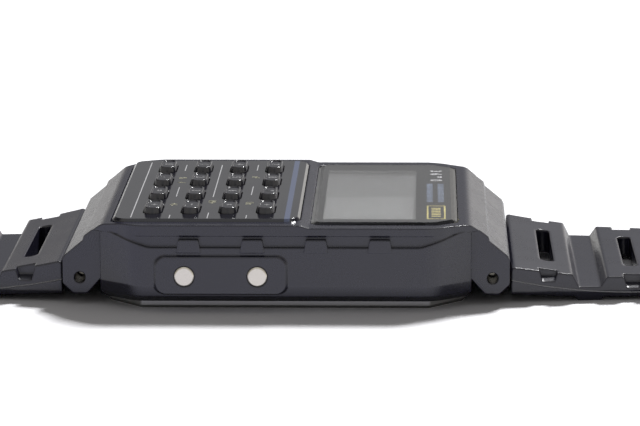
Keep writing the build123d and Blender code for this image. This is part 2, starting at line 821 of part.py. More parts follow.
def insulator_sheet():
    """Film between the battery clip and the case back."""
    top = strap_under_z - slip_fit
    sheet = block(-cavity_end + insulator_inset, cavity_end - insulator_inset, cavity_side - insulator_inset,
                  top - insulator_thickness, top, cavity_corner)
    sheet -= disc(sounder_x, sounder_y, 0, module_z, sounder_hole_r)
    for x, y in small_screw_places():
        sheet -= disc(x, y, 0, module_z, small_screw_head_r + slip_fit)
    return sheet


def piezo_disc():
    """Sounder disc glued to the inside of the case back."""
    plate = disc(sounder_x, sounder_y, back_thickness, back_thickness + sounder_thickness / 2, sounder_r)
    return plate + disc(sounder_x, sounder_y, back_thickness, back_thickness + sounder_thickness,
                        sounder_r - sounder_hole_r)


def buzzer_spring():
    """Contact coil from the sounder up to the board."""
    foot_z = back_thickness + sounder_thickness + sounder_coil_wire_r + slip_fit
    height = board_z - foot_z - sounder_coil_wire_r - slip_fit
    spring = coil(sounder_coil_r, sounder_coil_wire_r, sounder_coil_pitch, height)
    return Pos(sounder_x, sounder_y, foot_z) * spring


def logic_chip():
    """Sealed chip under the board."""
    half = chip_size / 2
    chip = slab(chip_x - half, chip_x + half, chip_y - half, chip_y + half, board_z - chip_height, board_z)
    return chamfer(chip.faces().sort_by(Axis.Z)[0].edges(), length=chip_height / 3)


def quartz_crystal():
    """Small steel can lying under the board."""
    can = Pos(crystal_x, crystal_y, board_z - crystal_r) * Rot(Y=90) * Cylinder(crystal_r, crystal_length)
    return fillet(can.edges().filter_by(GeomType.CIRCLE), radius=edge_break)


def chip_components():
    """Small parts in a row under the board."""
    row = Part()
    for i in range(small_count):
        y = small_y + i * small_pitch
        row += slab(small_x - small_length / 2, small_x + small_length / 2, y - small_width / 2,
                    y + small_width / 2, board_z - small_height, board_z)
    return row


leaf_y = -cavity_side + pusher_tip + pusher_travel + leaf_gap


def side_contacts():
    """Two leaves on the board's underside, one behind each pusher."""
    leaves = Part()
    for x in pusher_places():
        leaves += slab(x - leaf_half, x + leaf_half, leaf_y, leaf_y + leaf_thickness,
                       pusher_z - pusher_stem_r, board_z)
        leaves += slab(x - leaf_half, x + leaf_half, leaf_y, leaf_y + leaf_foot,
                       board_z - leaf_thickness, board_z)
    return leaves


def pusher(x):
    """Steel push button: head with a ring groove, stem and clip neck."""
    face_y = -guard_face - pusher_proud
    head = rod_y(x, pusher_z, face_y, head_back, pusher_r)
    head = chamfer(head.edges().sort_by(Axis.Y)[0], length=pusher_bevel)
    groove = rod_y(x, pusher_z, face_y + ring_setback, face_y + ring_setback + ring_groove, pusher_r + overrun)
    core = rod_y(x, pusher_z, face_y + ring_setback, face_y + ring_setback + ring_groove,
                 pusher_r + slip_fit / 2 - 2 * ring_section_r)
    stem = rod_y(x, pusher_z, head_back, -cavity_side + pusher_tip, pusher_stem_r)
    neck = (-cavity_side + clip_gap - slip_fit / 2, -cavity_side + clip_gap + clip_thickness + slip_fit / 2)
    stem -= rod_y(x, pusher_z, *neck, pusher_stem_r + overrun) - rod_y(x, pusher_z, *neck, clip_neck_r)
    return head - groove + core + stem


def pusher_ring(x):
    """O-ring in the pusher's groove."""
    y = -guard_face - pusher_proud + ring_setback + ring_groove / 2
    return Pos(x, y, pusher_z) * Rot(X=90) * Torus(pusher_r + slip_fit / 2 - ring_section_r, ring_section_r)


def pusher_clip(x):
    """Open retaining clip on the pusher's neck, inside the case wall."""
    y0 = -cavity_side + clip_gap
    y1 = y0 + clip_thickness
    clip = rod_y(x, pusher_z, y0, y1, clip_r) - rod_y(x, pusher_z, y0 - overrun, y1 + overrun, clip_neck_r)
    return clip - slab(x - clip_neck_r, x + clip_neck_r, y0 - overrun, y1 + overrun,
                       pusher_z - clip_r - overrun, pusher_z)


def pusher_spring(x):
    """Return coil round the stem, between the head and the bottom of its bore."""
    length = counterbore_y - head_back - 2 * (coil_wire_r + slip_fit / 2)
    spring = coil(coil_r, coil_wire_r, length / coil_turns, length)
    return Pos(x, head_back + coil_wire_r + slip_fit / 2, pusher_z) * Rot(X=-90) * spring


def spring_bar_tubes():
    """The outer tubes of both spring bars."""
    half = root_half - bar_collar
    tube = rod_y(bar_x, bar_z, -half, half, bar_tube_r)
    tube -= rod_y(bar_x, bar_z, -half - overrun, half + overrun, bar_tube_r - bar_tube_wall)
    return both_ends(tube)


def spring_bar_tips():
    """The sprung tips: tail in the tube, collar, and the pin that sits in the lug's hole."""
    inner = root_half - bar_collar
    tip = rod_y(bar_x, bar_z, inner - bar_pin_tail, pocket_half + bar_pin_reach, bar_pin_r)
    tip += rod_y(bar_x, bar_z, inner + slip_fit / 2, root_half, bar_collar_r)
    return both_ends(both_sides(tip))


def spring_bar_springs():
    """The coils that push the tips apart inside the tubes."""
    half = root_half - bar_collar - bar_pin_tail - slip_fit - bar_coil_wire
    spring = coil(bar_pin_r - bar_coil_wire, bar_coil_wire, bar_coil_pitch, 2 * half)
    return both_ends(Pos(bar_x, -half, bar_z) * Rot(X=-90) * spring)


strap_start = bar_x + bar_inset + strap_gap
link_pitch = link_length + valley_length
strap_cut_top = strap_top + root_rise_six + overrun
link_root_z = (valley_floor + strap_recess) / 2


def settle(run, rise):
    """How much higher than its flat run the strap still lies at a distance from the case."""
    left = max(1 - run / settle_run, 0)
    return rise * left ** settle_power


def strap_half_width(run):
    """Half the strap's width at a distance from the case."""
    share = min(run / strap_taper_run, 1)
    return strap_start_half + (strap_end_half - strap_start_half) * share


def settle_runs(first, last):
    """Distances from the case between two others at which the strap's curve gets a point."""
    runs = [settle_run * i / settle_steps for i in range(1, settle_steps)]
    return [run for run in runs if first < run < last]


def sheet(end):
    """The strap without its links: flat on top, its underside lifted at the case."""
    under = [0] + settle_runs(0, settle_run) + [settle_run]
    corners = [(strap_start + run, strap_recess + settle(run, root_lift), 0) for run in under]
    corners += [(strap_start + end + overrun, strap_recess, 0), (strap_start + end + overrun, valley_floor, 0),
                (strap_start, valley_floor, 0)]
    return along_y(corners, -strap_start_half, strap_start_half)


def raised_part(start, end, rise, open_start, open_end):
    """The raised part of a link; an open end has no ramp."""
    first = start if open_start else start + valley_ramp
    last = end if open_end else end - valley_ramp
    runs = [first] + settle_runs(first + valley_ramp, last - valley_ramp) + [last]
    top = [(strap_start + run, strap_top + settle(run, rise), block_round if run in (first, last) else 0)
           for run in runs]
    corners = [(strap_start + start, link_root_z, 0)]
    if not open_start:
        corners += [(strap_start + start, valley_floor, 0)]
    corners += top
    if not open_end:
        corners += [(strap_start + end, valley_floor, 0)]
    return along_y(corners + [(strap_start + end, link_root_z, 0)], -strap_start_half, strap_start_half)


def links_row(links, rise, end):
    """Every raised part: the one at the case, the plain ones and the end piece past the last valley."""
    row = raised_part(0, first_link_lead + link_length, rise, True, False)
    near = [i for i in range(1, links) if first_link_lead + i * link_pitch < settle_run]
    for i in near:
        start = first_link_lead + i * link_pitch
        row += raised_part(start, start + link_length, rise, False, False)
    plain_start = first_link_lead + (len(near) + 1) * link_pitch
    plain = raised_part(plain_start, plain_start + link_length, 0, False, False)
    for i in range(links - len(near) - 1):
        row += Pos(i * link_pitch, 0, 0) * plain
    return row + raised_part(first_link_lead + links * link_pitch, end + overrun, 0, False, True)


def pads(links):
    """The feet under the valleys."""
    half = pad_length / 2
    foot = along_y([(-half - pad_ramp, link_root_z, 0), (-half - pad_ramp / 2, 0, pad_round),
                    (half + pad_ramp / 2, 0, pad_round), (half + pad_ramp, link_root_z, 0)],
                   -strap_start_half, strap_start_half)
    first = strap_start + first_link_lead + link_length + valley_length / 2
    row = Part()
    for i in range(links):
        row += Pos(first + i * link_pitch, 0, 0) * foot
    return row


def strap_plan(end, inset, corner):
    """The strap's outline seen from above, drawn in by an inset."""
    near, knee, far = strap_start - overrun, strap_start + strap_taper_run, strap_start + end - inset
    wide, narrow = strap_start_half - inset, strap_end_half - inset
    return outline([(near, wide, 0), (strap_start, wide, 0), (knee, narrow, 0), (far, narrow, corner),
                    (far, -narrow, corner), (knee, -narrow, 0), (strap_start, -wide, 0), (near, -wide, 0)])


def strap_shape(end, corner):
    """What the strap's outline leaves: upright sides above, sloping ones below."""
    wide = Pos(0, 0, under_bevel_top) * strap_plan(end, 0, corner)
    lower = loft([strap_plan(end, under_bevel, corner), wide], ruled=True)
    return lower + extrude(wide, amount=strap_cut_top - under_bevel_top, dir=Plane.XY.z_dir)


def slot_runs(links):
    """How far from the case the middles of the slots are."""
    return [first_link_lead + i * link_pitch + slot_from_start for i in range(links)]


def strap_slots(links):
    """The round-ended cross slots through the links."""
    slots = Part()
    for run in slot_runs(links):
        slot = SlotOverall(2 * slot_share * strap_half_width(run), slot_width, rotation=90)
        slots += extrude(Pos(strap_start + run, 0, -overrun) * slot, amount=strap_cut_top + overrun)
    return slots


def side_notches(links):
    """The steps in the strap's sides beside the slots, down to a ledge that slopes outwards."""
    notches = Part()
    for run in slot_runs(links):
        x = strap_start + run
        half = strap_half_width(run)
        ledge = notch_ledge + settle(run, notch_settle)
        inner = half - notch_depth
        across = along_x([(inner, strap_cut_top, 0), (inner, ledge + notch_ledge_rise, 0), (half, ledge, 0),
                          (half + overrun, ledge, 0), (half + overrun, strap_cut_top, 0)],
                         x - notch_length / 2, x + notch_length / 2)
        along = along_y([(x - notch_foot / 2, ledge - overrun, 0), (x - notch_foot / 2, ledge, 0),
                         (x - notch_length / 2, ledge + strap_top - notch_ledge, 0),
                         (x - notch_length / 2, strap_cut_top, 0), (x + notch_length / 2, strap_cut_top, 0),
                         (x + notch_length / 2, ledge + strap_top - notch_ledge, 0),
                         (x + notch_foot / 2, ledge, 0), (x + notch_foot / 2, ledge - overrun, 0)],
                        inner - overrun, half + 2 * overrun)
        notches += across & along
    return both_sides(notches)


def strap(links, rise, end, corner):
    """One half of the strap, pointing towards +X."""
    body = sheet(end) + links_row(links, rise, end) + pads(links)
    body = (body & strap_shape(end, corner)) - strap_slots(links) - side_notches(links)
    root = slab(bar_x, strap_start + root_run, -root_half, root_half, bar_z - root_bottom,
                bar_z + root_top)
    root += rod_y(bar_x, bar_z, -root_half, root_half, root_r)
    return body + root - rod_y(bar_x, bar_z, -root_half - overrun, root_half + overrun, bar_tube_r + slip_fit)


end_twelve = first_link_lead + links_twelve * link_pitch + end_run
buckle_x = strap_start + end_twelve
keeper_x = buckle_x - keeper_from_bar
keeper_bay_x = keeper_x - keeper_width / 2 - keeper_slide - pad_ramp
keeper_bay_z = keeper_lift + keeper_web


def strap_twelve():
    """The short half: room for the keeper under it, and at its end the barrel for the buckle bar."""
    half = strap(links_twelve, root_rise_twelve, end_twelve, 0)
    half -= slab(keeper_bay_x, buckle_x + overrun, -strap_start_half, strap_start_half, -overrun, keeper_bay_z)
    half += rod_y(buckle_x, buckle_bar_z, -strap_end_half + slip_fit, strap_end_half - slip_fit, buckle_barrel_r)
    half -= rod_y(buckle_x, buckle_bar_z, -strap_end_half - overrun, strap_end_half + overrun,
                  buckle_bar_r + slip_fit)
    return half - slab(buckle_x - tongue_notch_run, buckle_x + link_pitch, -tongue_notch_half,
                       tongue_notch_half, -overrun, strap_top + overrun)


def strap_six():
    """The long slotted half with a rounded tip."""
    end = first_link_lead + links_six * link_pitch + strap_tip
    return mirror(strap(links_six, root_rise_six, end, tip_round), about=Plane.YZ)


def buckle_bar():
    """Stepped pin through the strap's end, the tongue and the frame's arms."""
    shoulder = strap_end_half - slip_fit
    bar = rod_y(buckle_x, buckle_bar_z, -shoulder, shoulder, buckle_bar_r)
    return bar + rod_y(buckle_x, buckle_bar_z, -shoulder - buckle_pin_reach, shoulder + buckle_pin_reach,
                       buckle_pin_r)


def buckle_frame():
    """Steel U with an eye at the end of each arm."""
    inner = strap_end_half + arm_gap
    outer = inner + buckle_arm
    front = buckle_x + buckle_window
    low = buckle_bar_z - buckle_height / 2
    high = buckle_bar_z + buckle_height / 2
    tip = front + buckle_front
    frame = along_z([(buckle_x, outer, 0), (tip, outer, buckle_corner), (tip, -outer, buckle_corner),
                     (buckle_x, -outer, 0)], low, high)
    frame -= along_z([(buckle_x - overrun, inner, 0), (front, inner, edge_break), (front, -inner, edge_break),
                      (buckle_x - overrun, -inner, 0)], low - overrun, high + overrun)
    frame = chamfer(frame.faces().sort_by(Axis.Z)[-1].edges().filter_by(
        lambda e: e.center().X > buckle_x + edge_break), length=edge_break)
    frame += both_sides(rod_y(buckle_x, buckle_bar_z, inner, outer, buckle_height / 2))
    return frame - rod_y(buckle_x, buckle_bar_z, -outer - overrun, outer + overrun, buckle_pin_r + slip_fit)


def buckle_tongue():
    """Blade with a ring round the buckle bar; it lies on the frame's front bar."""
    top = buckle_bar_z + tongue_rise + tongue_thickness
    under = buckle_bar_z + tongue_rise
    knee = buckle_x + tongue_ring_r
    blade = along_y([(buckle_x, buckle_bar_z + buckle_bar_r + slip_fit, 0),
                     (buckle_x - edge_break, top, edge_break),
                     (buckle_x + tongue_reach, top, edge_break), (buckle_x + tongue_reach, under, 0),
                     (knee + tongue_thickness, under, 0), (knee, buckle_bar_z + tongue_ring_r / 2, 0)],
                    -tongue_half, tongue_half)
    ring = rod_y(buckle_x, buckle_bar_z, -tongue_half, tongue_half, tongue_ring_r)
    return ring + blade - rod_y(buckle_x, buckle_bar_z, -tongue_half - overrun, tongue_half + overrun,
                                buckle_bar_r + slip_fit)


def keeper_loop():
    """Rubber loop that holds the strap's free end."""
    inner = strap_end_half + keeper_gap
    outer = inner + keeper_wall
    low = keeper_lift
    ring = along_x([(-outer, low, keeper_web / 2), (outer, low, keeper_web / 2),
                    (outer, keeper_room + keeper_wall, keeper_round),
                    (-outer, keeper_room + keeper_wall, keeper_round)],
                   keeper_x - keeper_width / 2, keeper_x + keeper_width / 2)
    hole = along_x([(-inner, low + keeper_web - edge_break, 0), (inner, low + keeper_web - edge_break, 0),
                    (inner, keeper_room, keeper_inner_round), (-inner, keeper_room, keeper_inner_round)],
                   keeper_x - keeper_width, keeper_x + keeper_width)
    return ring - hole


# Key names by row, from the 6 o'clock end up to the display, each row from the 3 o'clock side across
key_names = (("key_plus", "key_equals", "key_point", "key_0"), ("key_minus", "key_3", "key_2", "key_1"),
             ("key_times", "key_6", "key_5", "key_4"), ("key_divide", "key_9", "key_8", "key_7"))
adjust_x, mode_x = pusher_places()

nodes = {
    "case_body": case_body(), "case_back": case_back(), "case_back_screws": back_screws(),
    "case_back_gasket": gasket_ring(case_bottom_z, gasket_height, gasket_inset, gasket_width),
    "display_lens": display_lens(), "lens_seal": lens_seal(), "dial_plate": dial_plate(),
    "keypad_panel": keypad_panel(), "key_mat": key_mat(), "lcd_panel": lcd_panel(),
    "zebra_strips": zebra_strips(), "circuit_board": circuit_board(), "module_frame": module_frame(),
    "module_cover": module_cover(), "module_screws": module_screws(), "battery": battery(),
    "battery_clip": battery_clip(), "battery_contact": battery_contact(), "insulator_sheet": insulator_sheet(),
    "piezo_disc": piezo_disc(), "buzzer_spring": buzzer_spring(), "logic_chip": logic_chip(),
    "quartz_crystal": quartz_crystal(), "chip_components": chip_components(), "side_contacts": side_contacts(),
    "spring_bar_tubes": spring_bar_tubes(), "spring_bar_tips": spring_bar_tips(),
    "spring_bar_springs": spring_bar_springs(), "strap_twelve": strap_twelve(), "strap_six": strap_six(),
    "buckle_bar": buckle_bar(), "buckle_frame": buckle_frame(), "buckle_tongue": buckle_tongue(),
    "keeper_loop": keeper_loop(),
}
for name, x in (("adjust", adjust_x), ("mode", mode_x)):
    nodes["pusher_" + name] = pusher(x)
    nodes["pusher_ring_" + name] = pusher_ring(x)
    nodes["pusher_clip_" + name] = pusher_clip(x)
    nodes["pusher_spring_" + name] = pusher_spring(x)
cap = key_cap()
for names, places in zip(key_names, key_places()):
    for name, (x, y) in zip(names, places):
        nodes[name] = Pos(x, y, 0) * cap

os.makedirs("parts", exist_ok=True)
for name, shape in nodes.items():
    export_step(shape, f"parts/{name}.step")
print(len(nodes), "nodes written")
print("case", round(2 * case_end, 2), "x", round(case_width, 2), "keys top", round(key_top_z, 2))
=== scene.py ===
import bpy
import math
from mathutils import Matrix, Vector


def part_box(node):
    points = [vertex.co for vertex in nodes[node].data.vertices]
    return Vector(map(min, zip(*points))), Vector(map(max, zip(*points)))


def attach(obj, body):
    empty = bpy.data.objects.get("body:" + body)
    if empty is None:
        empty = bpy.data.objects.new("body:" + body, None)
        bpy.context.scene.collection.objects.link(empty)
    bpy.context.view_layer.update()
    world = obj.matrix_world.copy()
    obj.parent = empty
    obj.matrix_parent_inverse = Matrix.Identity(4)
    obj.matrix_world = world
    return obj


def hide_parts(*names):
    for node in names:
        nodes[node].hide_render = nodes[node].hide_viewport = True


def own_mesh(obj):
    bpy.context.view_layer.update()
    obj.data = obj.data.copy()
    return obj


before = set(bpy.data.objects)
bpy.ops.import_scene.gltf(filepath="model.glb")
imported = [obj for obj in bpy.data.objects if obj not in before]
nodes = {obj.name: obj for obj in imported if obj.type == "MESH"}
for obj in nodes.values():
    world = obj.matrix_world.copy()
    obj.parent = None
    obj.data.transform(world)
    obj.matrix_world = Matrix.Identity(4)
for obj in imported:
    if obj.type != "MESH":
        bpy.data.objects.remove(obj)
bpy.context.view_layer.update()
MM = 0.001
WHITE = (1, 1, 1, 1)


def box_mm(node):
    """The lowest and the highest corner of a CAD node, in millimetres."""
    return [[c / MM for c in corner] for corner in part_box(node)]


# Lengths and places are in millimetres along the CAD's axes, unless a comment says otherwise.
panel_top = box_mm("keypad_panel")[1][2]
dial_top = box_mm("dial_plate")[1][2]
lcd_low, lcd_high = box_mm("lcd_panel")
strap_start = box_mm("strap_twelve")[0][0]
key_names = [name for name in nodes if name.startswith("key_") and name != "key_mat"]
ink_height = 0.02


class Value:
    """One output of a shader node. Arithmetic on it adds the Math node that works it out."""

    def __init__(self, finish, socket):
        self.finish, self.socket = finish, socket

    def math(self, operation, *operands):
        return self.finish.node("Math", {"operation": operation}, dict(enumerate(operands)))

    def __add__(self, other):
        return self.math("ADD", self, other)

    def __radd__(self, other):
        return self.math("ADD", other, self)

    def __sub__(self, other):
        return self.math("SUBTRACT", self, other)

    def __rsub__(self, other):
        return self.math("SUBTRACT", other, self)

    def __mul__(self, other):
        return self.math("MULTIPLY", self, other)

    def __rmul__(self, other):
        return self.math("MULTIPLY", other, self)

    def __truediv__(self, other):
        return self.math("DIVIDE", self, other)

    def __rtruediv__(self, other):
        return self.math("DIVIDE", other, self)

    def __pow__(self, other):
        return self.math("POWER", self, other)

    def __abs__(self):
        return self.math("ABSOLUTE", self)

    def most(self, other):
        return self.math("MAXIMUM", self, other)

    def clamped(self):
        """The value kept between 0 and 1."""
        return self.finish.node("Clamp", {}, {"Value": self})


class Finish:
    """A material, or the world, that is put together node by node."""

    def __init__(self, name, owner=None):
        self.owner = owner or bpy.data.materials.new(name)
        self.owner.use_nodes = True
        self.tree = self.owner.node_tree
        self.tree.nodes.clear()

    def node(self, kind, settings=None, inputs=None, out=0):
        """Adds a node of that kind: its settings first, then the values or links of its sockets."""
        made = self.tree.nodes.new("ShaderNode" + kind)
        for name, value in (settings or {}).items():
            setattr(made, name, value)
        for name, value in (inputs or {}).items():
            if isinstance(value, Value):
                self.tree.links.new(value.socket, made.inputs[name])
            else:
                made.inputs[name].default_value = value
        return Value(self, made.outputs[out]) if made.outputs else None

    def split(self, vector):
        """The X, Y and Z of a vector."""
        return [self.node("SeparateXYZ", {}, {"Vector": vector}, out=axis) for axis in "XYZ"]

    def place(self):
        """The X, Y and Z of a point on the piece, in millimetres."""
        return [part / MM for part in self.split(self.node("TexCoord", out="Object"))]

    def rays(self, *kinds):
        """For each kind of ray, 1 where the ray that looks is of that kind and 0 where it isn't."""
        return [self.node("LightPath", out="Is %s Ray" % kind) for kind in kinds]

    def colour(self, factor, first, second):
        """A colour between two others. The Mix node's sockets for colours are its inputs 6 and 7 and output 2."""
        return self.node("Mix", {"data_type": "RGBA"}, {0: factor, 6: first, 7: second}, out=2)

    def mixed(self, factor, first, second):
        """A shader between two others."""
        return self.node("MixShader", {}, {0: factor, 1: first, 2: second})

    def noise(self, size_mm, detail=3.0, stretch=(1, 1, 1)):
        """Mottling whose features are about that many millimetres across, drawn out along an axis if asked."""
        spot = self.node("TexCoord", out="Object")
        per_axis = [1 / (size_mm * MM * s) for s in stretch]
        scaled = self.node("VectorMath", {"operation": "MULTIPLY"}, {0: spot, 1: per_axis})
        return self.node("TexNoise", {}, {"Vector": scaled, "Scale": 1.0, "Detail": detail, "Roughness": 0.55})

    def band(self, value, low, high, soft=0.02):
        """1 between low and high, 0 outside, with a soft edge."""
        rise = ((value - low) / soft).clamped()
        fall = ((high - value) / soft).clamped()
        return rise * fall

    def bump(self, height, depth_mm, normal):
        """A normal bent by a height that runs from 0 to 1."""
        return self.node("Bump", {}, {"Height": height, "Distance": depth_mm * MM, "Strength": 1.0, "Normal": normal})

    def soft_edges(self, radius_mm):
        """The normal of a piece with its edges rounded off by that radius."""
        return self.node("Bevel", {"samples": 8}, {"Radius": radius_mm * MM})

    def edge_mask(self, soft):
        """Where the rounded edges are: 0 on the flats, up to 1 on a square edge."""
        gain = 4
        true = self.node("NewGeometry", out="True Normal")
        along = self.node("VectorMath", {"operation": "DOT_PRODUCT"}, {0: soft, 1: true}, out="Value")
        return ((1 - along) * gain).clamped()

    def surface(self, shader):
        """Ends the material with that shader."""
        self.node("OutputMaterial", {}, {"Surface": shader})
        return self.owner

    def principled(self, inputs):
        """Ends the material with a Principled shader."""
        return self.surface(self.node("BsdfPrincipled", {}, inputs))


def shades(colour, spread):
    """A darker and a lighter tone of a colour."""
    return [c * (1 - spread) for c in colour] + [1], [min(c * (1 + spread), 1) for c in colour] + [1]


def varied(middle, *noises):
    """A value that strays from its middle with each noise, over a range as wide as that noise's share."""
    for noise, share in noises:
        middle = middle + (noise - 0.5) * share
    return middle


def moulded(name, colour, roughness, edge=0.12, ior=1.7):
    """Moulded resin or plastic: fine spark-eroded grain, slight mottling, rounded and a little paler edges."""
    grain_size, grain_depth, grain_share = 0.10, 0.0003, 0.06
    mottle_size, mottle_detail, mottle_share, mottle_spread = 5.0, 2.0, 0.08, 0.15
    edge_lift, edge_share = 1.2, 0.25
    f = Finish(name)
    fine = f.noise(grain_size)
    broad = f.noise(mottle_size, mottle_detail)
    soft = f.soft_edges(edge)
    dark, light = shades(colour, mottle_spread)
    worn = shades(colour, edge_lift)[1]
    return f.principled({
        "Base Color": f.colour(f.edge_mask(soft) * edge_share, f.colour(broad, dark, light), worn),
        "Roughness": varied(roughness, (fine, grain_share), (broad, mottle_share)),
        "IOR": ior,
        "Normal": f.bump(fine, grain_depth, soft),
    })


def strap_resin():
    """Flexible resin with the mould's parting line along the strap's sides: a raised ridge, with a painted highlight
    along it.
    """
    colour, line_highlight_colour = (0.012, 0.012, 0.026), (0.50, 0.50, 0.52, 1)
    grain_size, grain_depth, grain_share = 0.13, 0.002, 0.12
    mottle_size, mottle_detail, mottle_share, mottle_spread = 4.0, 2.0, 0.08, 0.14
    edge, edge_lift, edge_share = 0.32, 1.0, 0.3
    line_level, line_rise, rise_length = 0.8, 2.26, 16
    line_half, line_height, line_highlight_share = 0.08, 0.05, 0.8
    root_half, taper, end_half = 12.6, 0.1, 9.0
    side_skin, skin_fade = 0.12, 0.04

    f = Finish("strap resin")
    x, y, z = f.place()
    run = abs(x) - strap_start
    line = line_level + line_rise * (1 - run / rise_length).clamped() ** 2
    half = (root_half - run * taper).most(end_half)
    on_side = ((abs(y) - half + side_skin) / skin_fade).clamped()
    ridge_and_highlight = (1 - abs(z - line) / line_half).clamped() * on_side

    fine = f.noise(grain_size)
    broad = f.noise(mottle_size, mottle_detail)
    soft = f.soft_edges(edge)
    dark, light = shades(colour, mottle_spread)
    worn = shades(colour, edge_lift)[1]
    tone = f.colour(f.edge_mask(soft) * edge_share, f.colour(broad, dark, light), worn)
    return f.principled({
        # The pale colour along the ridge is a painted highlight; the ridge itself is the bump below.
        "Base Color": f.colour(ridge_and_highlight * line_highlight_share, tone, line_highlight_colour),
        "Roughness": varied(0.29, (fine, grain_share), (broad, mottle_share)),
        "IOR": 1.7,
        "Normal": f.bump(ridge_and_highlight, line_height, f.bump(fine, grain_depth, soft)),
    })


def panel_gloss():
    """Glossy keypad panel: fine white rules, short dashes between the keys and a blue stripe."""
    colour, blue, white = (0.012, 0.012, 0.020), (0.08, 0.105, 0.20, 1), (0.62, 0.62, 0.64, 1)
    long_rule = (-14.96, -14.84), (-14.1, 13.6)
    dash_half = 0.055
    dashes = (
        (-11.19, ((9.2, 12.4), (-4.0, 0.7), (-14.4, -12.9))),
        (-7.52, ((-4.2, 12.4), (-14.4, -11.8))),
        (-3.79, ((9.4, 12.4), (-3.2, 1.1), (-14.4, -12.9))),
    )
    stripe_from, stripe_to, stripe_soft = -0.12, 0.46, 0.05
    mottle_size, mottle_detail, mottle_share, mottle_spread = 7.0, 2.0, 0.04, 0.12
    ripple_size, ripple_depth, edge = 0.5, 0.0004, 0.07
    ink_share = 0.2

    f = Finish("panel gloss")
    x, y, _ = f.place()
    rule = f.band(x, *long_rule[0]) * f.band(y, *long_rule[1])
    for middle, runs in dashes:
        for low, high in runs:
            rule = rule.most(f.band(x, middle - dash_half, middle + dash_half) * f.band(y, low, high))
    stripe = f.band(x, stripe_from, stripe_to, stripe_soft)
    broad = f.noise(mottle_size, mottle_detail)
    fine = f.noise(ripple_size)
    dark, light = shades(colour, mottle_spread)
    tone = f.colour(stripe, f.colour(broad, dark, light), blue)
    return f.principled({
        "Base Color": f.colour(rule, tone, white),
        "Roughness": 0.12 + broad * mottle_share + rule * ink_share,
        "IOR": 1.66,
        "Normal": f.bump(fine, ripple_depth, f.soft_edges(edge)),
    })


def display_glass():
    """Grey liquid crystal panel in two tones: its upper field is darker as a painted reflection band across the
    glass, and its lower field is a little paler.
    """
    # The darker upper tone is a painted reflection band across the glass, not the panel's own grey.
    reflection_band_tone, lower, spread = (0.044, 0.045, 0.047), (0.098, 0.1, 0.102), 0.04
    field_from, field_to, left_margin, right_margin = -12.6, 0.3, 0.3, 0.9
    mottle_size, mottle_detail = 5.0, 2.0
    grid_size, grid_detail, grid_depth, grid_share, edge = 0.06, 1.0, 0.0003, 0.1, 0.05

    f = Finish("display glass")
    x, y, _ = f.place()
    across = f.band(x, lcd_low[0] + left_margin, lcd_high[0] - right_margin)
    field = f.band(y, field_from, field_to) * across
    broad = f.noise(mottle_size, mottle_detail)
    grid = f.noise(grid_size, grid_detail)
    reflection_band_shades, below = [f.colour(broad, *shades(colour, spread)) for colour in (reflection_band_tone, lower)]
    return f.principled({
        "Base Color": f.colour(field, reflection_band_shades, below),
        "Roughness": varied(0.35, (grid, grid_share)),
        "IOR": 1.2,
        "Normal": f.bump(grid, grid_depth, f.soft_edges(edge)),
    })


def clear_window():
    """Clear mineral glass that lets the lamp through to the display under it."""
    polish, smear_share, smear_size, edge = 0.004, 0.01, 4.0, 0.05
    let_through = (0.92, 0.92, 0.92, 1)
    f = Finish("clear window")
    glass = f.node("BsdfPrincipled", {}, {
        "Base Color": WHITE,
        "Roughness": polish + f.noise(smear_size) * smear_share,
        "IOR": 1.49,
        "Transmission Weight": 1.0,
        "Normal": f.soft_edges(edge),
    })
    shadow, = f.rays("Shadow")
    return f.surface(f.mixed(shadow, glass, f.node("BsdfTransparent", {}, {"Color": let_through})))


def metal(name, colour, roughness, along=None, depth=0.0012):
    """Plain steel or brass, turned, or brushed along one axis (0, 1 or 2)."""
    line_size, line_detail, line_stretch, line_highlight_share, line_spread = 0.11, 2.0, 30, 0.15, 0.12
    mottle_size, mottle_detail, mottle_share, edge = 3.0, 2.0, 0.08, 0.08
    f = Finish(name)
    stretch = [line_stretch if axis == along else 1 for axis in range(3)]
    lines = f.noise(line_size, line_detail, stretch)
    broad = f.noise(mottle_size, mottle_detail)
    return f.principled({
        "Base Color": f.colour(lines, *shades(colour, line_spread)),
        "Metallic": 1.0,
        "Roughness": varied(roughness, (lines, line_highlight_share), (broad, mottle_share)),
        "Normal": f.bump(lines, depth, f.soft_edges(edge)),
    })


def ink(name, colour):
    """Printed marks: a thin, slightly uneven coat of colour."""
    spread, share, size = 0.15, 0.1, 0.15
    f = Finish(name)
    cover = f.noise(size)
    return f.principled({
        "Base Color": f.colour(cover, *shades(colour, spread)),
        "Roughness": varied(0.5, (cover, share)),
    })


def dress(material, *names):
    """Gives CAD nodes a finish."""
    for name in names:
        for slot in nodes[name].material_slots:
            slot.material = material


dress(moulded("case resin", (0.010, 0.010, 0.026), 0.27, edge=0.20), "case_body")
dress(strap_resin(), "strap_twelve", "strap_six", "keeper_loop")
dress(moulded("key resin", (0.026, 0.026, 0.036), 0.24, edge=0.09), *key_names)
dress(panel_gloss(), "keypad_panel")
dress(moulded("dial print", (0.008, 0.008, 0.012), 0.32, edge=0.03, ior=1.3), "dial_plate")
dress(display_glass(), "lcd_panel")
dress(clear_window(), "display_lens")
turned_steel = metal("turned steel", (0.74, 0.70, 0.61), 0.24, depth=0.0003)
dress(turned_steel, "pusher_adjust", "pusher_mode", "buckle_bar", "spring_bar_tubes", "spring_bar_tips",
      "spring_bar_springs", "pusher_clip_adjust", "pusher_clip_mode", "module_screws", "case_back_screws",
      "quartz_crystal", "buzzer_spring")
dress(metal("brushed steel", (0.56, 0.55, 0.53), 0.34, 0), "module_cover", "battery", "battery_clip")
